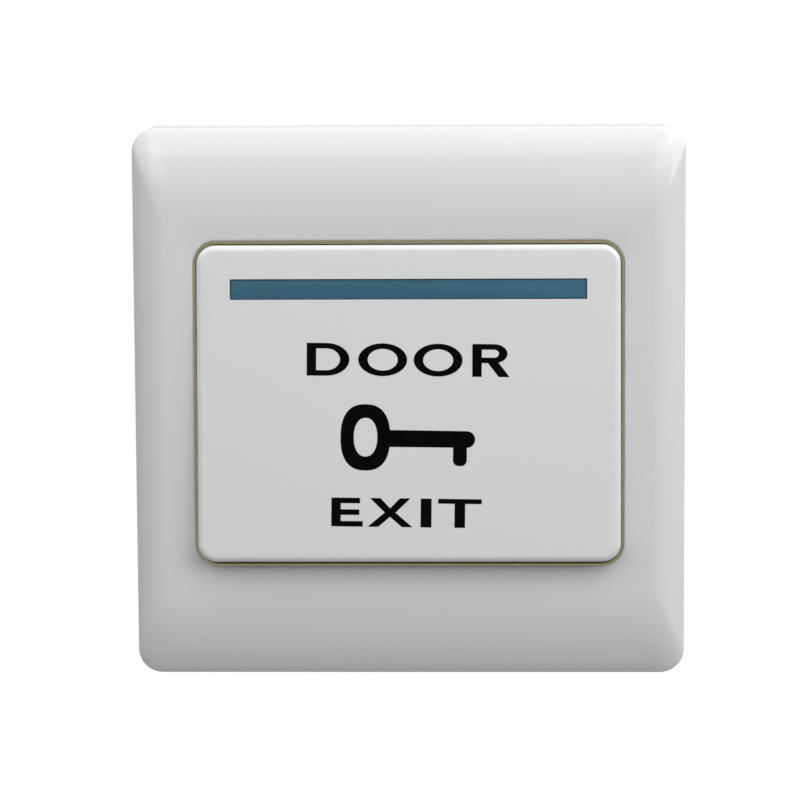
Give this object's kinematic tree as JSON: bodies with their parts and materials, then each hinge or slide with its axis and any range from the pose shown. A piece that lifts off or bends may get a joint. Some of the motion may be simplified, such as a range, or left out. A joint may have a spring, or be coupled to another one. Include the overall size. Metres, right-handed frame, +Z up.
{
  "type": "door exit button",
  "caption": "Wall-mounted door exit button: momentary rocker with a coloured strip in a square clip-on plate, change-over contacts and screw terminals behind.",
  "frame": {"origin": "middle of the plate in the plane of the wall", "axes": "+Z up, +X to the right seen from the front, the front faces -Y and the housing is at +Y"},
  "size_m": [0.086, 0.0293, 0.086],
  "materials": {
    "cover_white": "glossy moulded plastic",
    "trim_gold": "olive-gold metallic coating",
    "plate_grey": "moulded, fine matt",
    "housing_grey": "moulded, fine matt",
    "brass": "stamped",
    "contact_silver": "silver rivet",
    "zinc_steel": "zinc plated",
    "screw_brass": "turned",
    "spring_steel": "drawn wire",
    "rocker_white": "glossy moulded plastic",
    "strip_blue": "satin coloured plastic",
    "cradle_white": "moulded acetal",
    "plunger_grey": "moulded acetal"
  },
  "bodies": {
    "root": {"cover_frame": "cover_white", "trim_ring": "trim_gold", "mounting_plate": "plate_grey", "switch_housing": "housing_grey", "common_terminal": "brass", "open_terminal": "brass", "closed_terminal": "brass", "open_contact": "contact_silver", "closed_contact": "contact_silver", "clamp_plates": "zinc_steel", "terminal_screws": "screw_brass", "housing_screws": "zinc_steel", "return_spring_left": "spring_steel", "return_spring_right": "spring_steel"},
    "rocker": {"rocker_cap": "rocker_white", "light_strip": "strip_blue", "rocker_cradle": "cradle_white", "plunger_spring": "spring_steel"},
    "plunger": {"plunger": "plunger_grey"},
    "lever": {"contact_lever": "brass", "lever_contacts": "contact_silver"}
  },
  "joints": [
    {"name": "rocker_press", "type": "hinge", "parent": "root", "child": "rocker", "pos_m": [0, -0.0059, 0], "axis": [1, 0, 0], "range_deg": [0, 6.2], "stiffness_Nm_per_rad": 0.4, "springref_deg": -5.73, "deforming": ["return_spring_left", "return_spring_right"]},
    {"name": "plunger_slide", "type": "slide", "parent": "rocker", "child": "plunger", "axis": [0, -0.9983, 0.0576], "range_m": [0, 0.0008], "stiffness_N_per_m": 300, "springref_m": -0.004, "deforming": ["plunger_spring"]},
    {"name": "lever_tilt", "type": "hinge", "parent": "root", "child": "lever", "pos_m": [0, 0.0081, 0], "axis": [1, 0, 0], "range_deg": [-14.1, 0]}
  ],
  "couplings": [
    {"joint": "lever_tilt", "follows": "rocker_press", "ratio": -2.2581}
  ]
}
